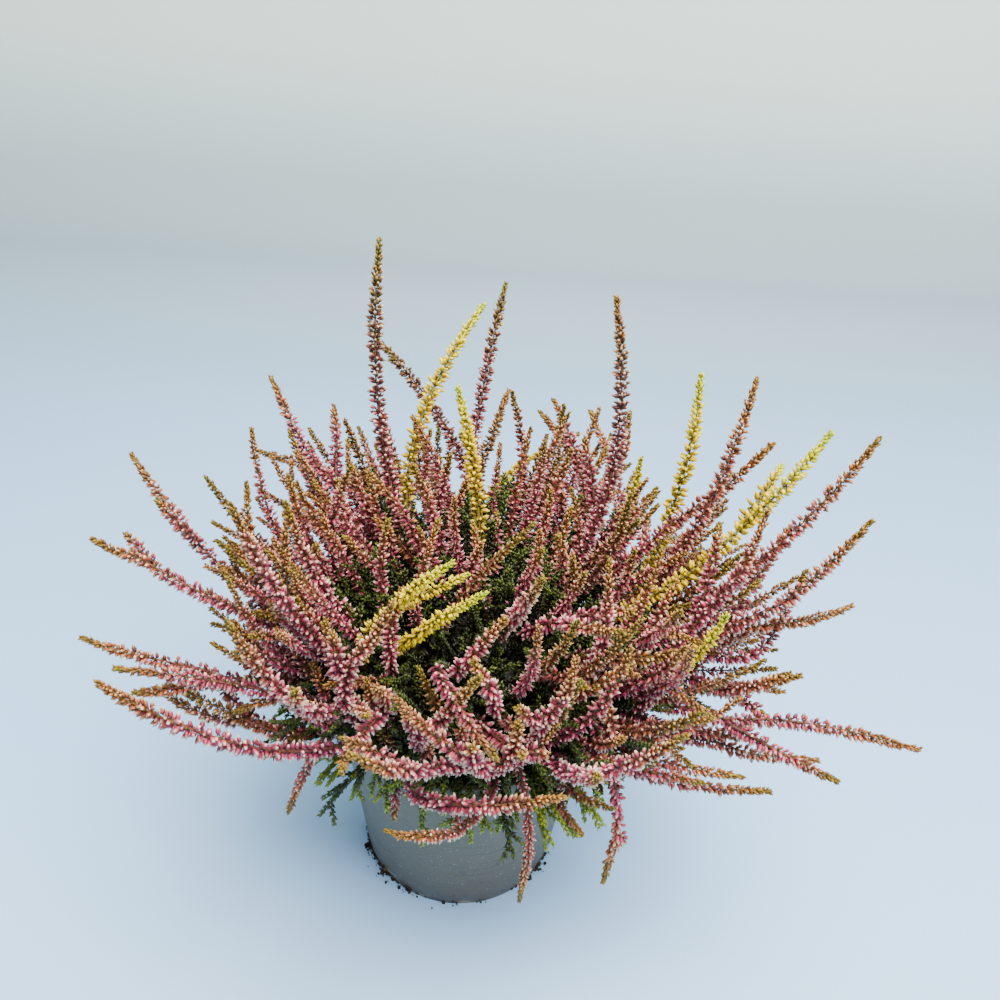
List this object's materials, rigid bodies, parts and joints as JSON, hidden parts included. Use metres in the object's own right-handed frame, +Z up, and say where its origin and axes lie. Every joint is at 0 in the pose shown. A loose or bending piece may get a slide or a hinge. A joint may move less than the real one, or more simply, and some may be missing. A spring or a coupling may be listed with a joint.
{
  "type": "potted heather",
  "caption": "Bushy heather with budded pink, peach and yellow flower spikes over scaly green foliage, growing in a plain tapered nursery pot.",
  "frame": {"origin": "centre of the pot's flat underside", "axes": "+Z up along the pot's axis, -Y towards the viewer's side, +X to the viewer's right"},
  "size_m": [0.3297, 0.2446, 0.269],
  "materials": {
    "pot_plastic": "slate grey injection-moulded polypropylene, matt, with soil specks and faint scuffs",
    "potting_soil": "dark crumbly peat and bark soil",
    "foliage": "small scale leaves, waxy, bright green at the shoot tips and dark inside",
    "flowers_pink": "closed buds, magenta pink with pale tips",
    "flowers_peach": "closed buds, salmon and peach with cream tips",
    "flowers_olive": "young compact buds, ochre to olive",
    "flowers_yellow": "closed buds, bright yellow with lime tips"
  },
  "bodies": {
    "root": {"flower_spike_01": "flowers_peach", "flower_spike_02": "flowers_peach", "flower_spike_03": "flowers_yellow", "flower_spike_04": "flowers_peach", "flower_spike_07": "flowers_peach", "flower_spike_08": "flowers_pink", "flower_spike_10": "flowers_yellow", "flower_spike_11": "flowers_peach", "flower_spike_12": "flowers_peach", "flower_spike_14": "flowers_peach", "flower_spike_22": "flowers_peach", "flower_spike_25": "flowers_pink", "flower_spike_26": "flowers_peach", "flower_spike_27": "flowers_peach", "flower_spike_28": "flowers_pink", "flower_spike_31": "flowers_peach", "flower_spike_34": "flowers_pink", "flower_spike_37": "flowers_pink", "flower_spike_38": "flowers_yellow", "flower_spike_40": "flowers_yellow", "flower_spike_43": "flowers_pink", "flower_spike_47": "flowers_pink", "flower_spike_49": "flowers_peach", "flower_spike_51": "flowers_pink", "flower_spike_52": "flowers_pink", "flower_spray_05": "flowers_olive", "flower_spray_06": "flowers_peach", "flower_spray_09": "flowers_pink", "flower_spray_13": "flowers_yellow", "flower_spray_15": "flowers_peach", "flower_spray_16": "flowers_pink", "flower_spray_17": "flowers_peach", "flower_spray_18": "flowers_pink", "flower_spray_19": "flowers_pink", "flower_spray_20": "flowers_pink", "flower_spray_21": "flowers_peach", "flower_spray_23": "flowers_pink", "flower_spray_24": "flowers_pink", "flower_spray_29": "flowers_pink", "flower_spray_30": "flowers_pink", "flower_spray_32": "flowers_pink", "flower_spray_33": "flowers_pink", "flower_spray_35": "flowers_pink", "flower_spray_36": "flowers_pink", "flower_spray_39": "flowers_yellow", "flower_spray_41": "flowers_yellow", "flower_spray_42": "flowers_peach", "flower_spray_44": "flowers_peach", "flower_spray_45": "flowers_pink", "flower_spray_46": "flowers_peach", "flower_spray_48": "flowers_pink", "flower_spray_50": "flowers_pink", "flower_spray_53": "flowers_pink", "flower_spray_54": "flowers_peach", "flower_spray_55": "flowers_pink", "flower_spray_56": "flowers_peach", "flower_spray_57": "flowers_pink", "leafy_bush": "foliage", "pot": "pot_plastic", "soil": "potting_soil"}
  },
  "joints": []
}
